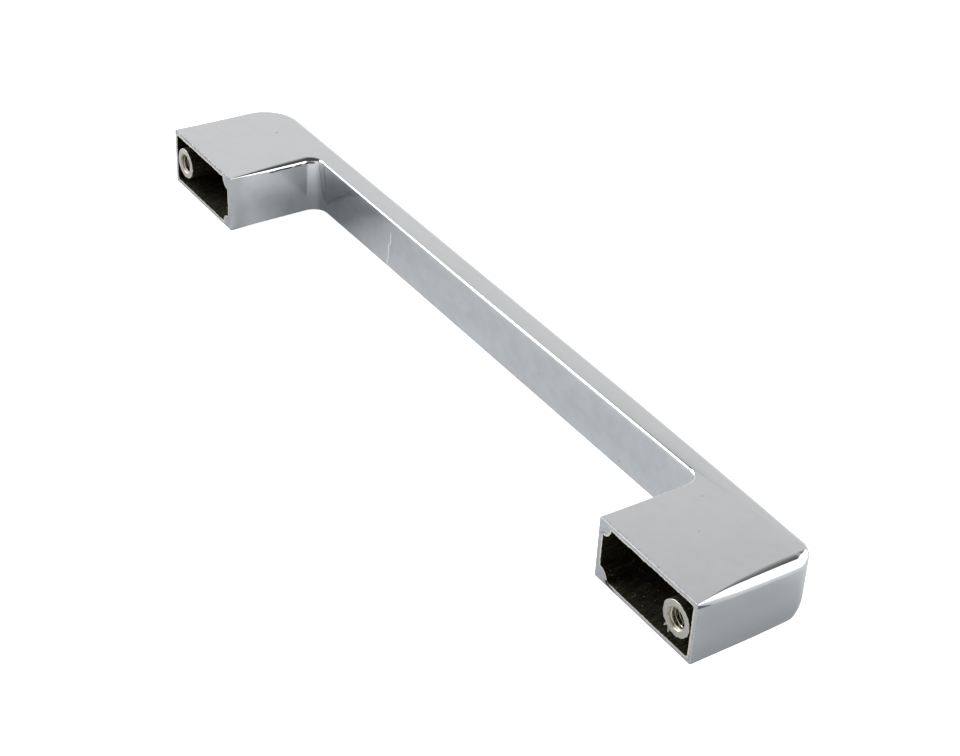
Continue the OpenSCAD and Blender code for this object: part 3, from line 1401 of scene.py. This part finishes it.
@dataclass
class Studio:
    """A pale floor, a pale room with two soft panels, and the camera of the photograph."""

    floor_z: float
    floor_size: float = 6.0
    floor_tint: Colour = (0.86, 0.885, 0.91)
    camera_lift: float = 0.85
    mirror_lift: float = 0.0
    camera_place: Triple = (-0.245177, 0.151603, 0.188997)
    camera_aim: Triple = (-0.013429, -0.009439, 0.0)
    camera_roll: float = 3.028
    lens: float = 74.84
    nearest: float = 0.01
    room: Stops = (
        (0.0, 1.15), (0.32, 1.12), (0.43, 1.0), (0.52, 0.98), (0.60, 0.91), (0.64, 0.83), (0.70, 0.62),
        (0.78, 0.36), (0.84, 0.12), (1.0, 0.10),
    )
    room_peak: float = 1.2
    dim_side: float = 0.45
    side_fade: tuple[float, float] = (-0.75, 0.1)
    panels: tuple[Panel, ...] = (
        Panel(-135, 33, left=0.90, right=0.30, down=0.66, up=0.43, soft=0.05, level=2.7),
        Panel(20, 28, left=0.44, right=0.25, down=0.28, up=0.38, soft=0.08, level=7.0),
    )

    def build(self) -> None:
        """Makes the whole studio."""
        bpy.context.scene.view_settings.view_transform = "Standard"
        self._camera()
        self._floor()
        self._room()

    def _camera(self) -> None:
        """Puts the camera at the photograph's viewing angle."""
        data = bpy.data.cameras.new("photo_view")
        data.lens = self.lens
        data.clip_start = self.nearest
        look = (Vector(self.camera_aim) - Vector(self.camera_place)).to_track_quat("-Z", "Y").to_matrix()
        turn = look @ Matrix.Rotation(math.radians(self.camera_roll), 3, "Z")
        camera = add_to_scene("photo_view", data)
        camera.matrix_world = Matrix.Translation(self.camera_place) @ turn.to_4x4()
        bpy.context.scene.camera = camera

    def _floor(self) -> None:
        """Adds the floor, which looks white and keeps the object's shadow."""
        half = self.floor_size / 2
        mesh = bpy.data.meshes.new("floor")
        corners = [(-half, -half), (half, -half), (half, half), (-half, half)]
        mesh.from_pydata([(x, y, self.floor_z) for x, y in corners], [], [(0, 1, 2, 3)])
        material = bpy.data.materials.new("pale_floor")
        material.use_nodes = True
        graph = Graph(material.node_tree)
        graph.tree.nodes.clear()
        rays = graph.add("ShaderNodeLightPath").outputs
        kinds = ("Camera", "Glossy", "Transmission")
        seen, glossy, passed = (Value(graph, rays[f"Is {kind} Ray"]) for kind in kinds)
        strength = seen * self.camera_lift + (glossy + passed) * self.mirror_lift
        glow = graph.out("ShaderNodeEmission", {"Strength": strength})
        matt = graph.out("ShaderNodeBsdfDiffuse", {"Color": opaque(self.floor_tint)})
        both = graph.out("ShaderNodeAddShader", {0: matt, 1: glow})
        graph.add("ShaderNodeOutputMaterial", {"Surface": both})
        mesh.materials.append(material)
        floor = add_to_scene("floor", mesh)

    def _room(self) -> None:
        """Makes the room: white to the camera, and in mirrors pale low down and darker overhead."""
        world = bpy.data.worlds.new("room")
        world.use_nodes = True
        bpy.context.scene.world = world
        graph = Graph(world.node_tree)
        graph.tree.nodes.clear()
        way = graph.out("ShaderNodeTexCoord", output="Generated")
        side, _, height = graph.axes(way)
        stops = tuple((place, level / self.room_peak) for place, level in self.room)
        wall = graph.value("ShaderNodeValToRGB", {0: height}, stops=stops) * self.room_peak
        wall = wall * (side.ramp(*self.side_fade) * (1 - self.dim_side) + self.dim_side)
        for panel in self.panels:
            wall = wall.larger(panel.light(graph, way))
        seen = graph.value("ShaderNodeLightPath", output="Is Camera Ray")
        white = {"Color": (1.0, 1.0, 1.0, 1.0), "Strength": wall + (1 - wall) * seen}
        graph.add("ShaderNodeOutputWorld", {"Surface": graph.out("ShaderNodeBackground", white)})


def dress_handle() -> bpy.types.Object:
    """Builds the casting with its two bosses as one piece, and puts it in the node's place.

    Returns:
        The finished piece.
    """
    low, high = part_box(NODE)
    holes = next(m for m in frame["record"]["mounts"] if m["name"] == "screw_holes")
    pitch = holes["dims"]["spacing_x_mm"] * MM
    tap_r = holes["dims"]["hole_r_mm"] * MM
    materials = [finish().build() for finish in (ChromePlate, GroundRim, CastHollow, CutThread)]
    whole = Casting(half_length=high.x, projection=-low.y, half_height=high.z).shell()
    log.info("casting: %d faces", len(whole.faces))
    for foot, seed, burrs in ((Foot.NEAR, 3, 2), (Foot.FAR, 8, 0)):
        name = f"{foot.name.lower()}_boss"
        boss = ScrewBoss(foot.value * pitch / 2, tap_r, materials, seed=seed, burrs=burrs).shell(name)
        log.info("%s: %d faces", name, len(boss.faces))
        whole = whole + boss
    piece = whole.to_object("handle_casting", materials)
    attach(piece, BODY)
    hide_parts(NODE)
    return piece


def main() -> None:
    """Builds the handle and the studio, and reports each."""
    logging.basicConfig(level=logging.INFO, format="%(message)s")
    piece = dress_handle()
    log.info("%s: %d points", piece.name, len(piece.data.vertices))
    floor_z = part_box(NODE)[0].z
    Studio(floor_z).build()
    log.info("studio: floor at %.2f mm", floor_z / MM)


if __name__ == "__main__":
    main()
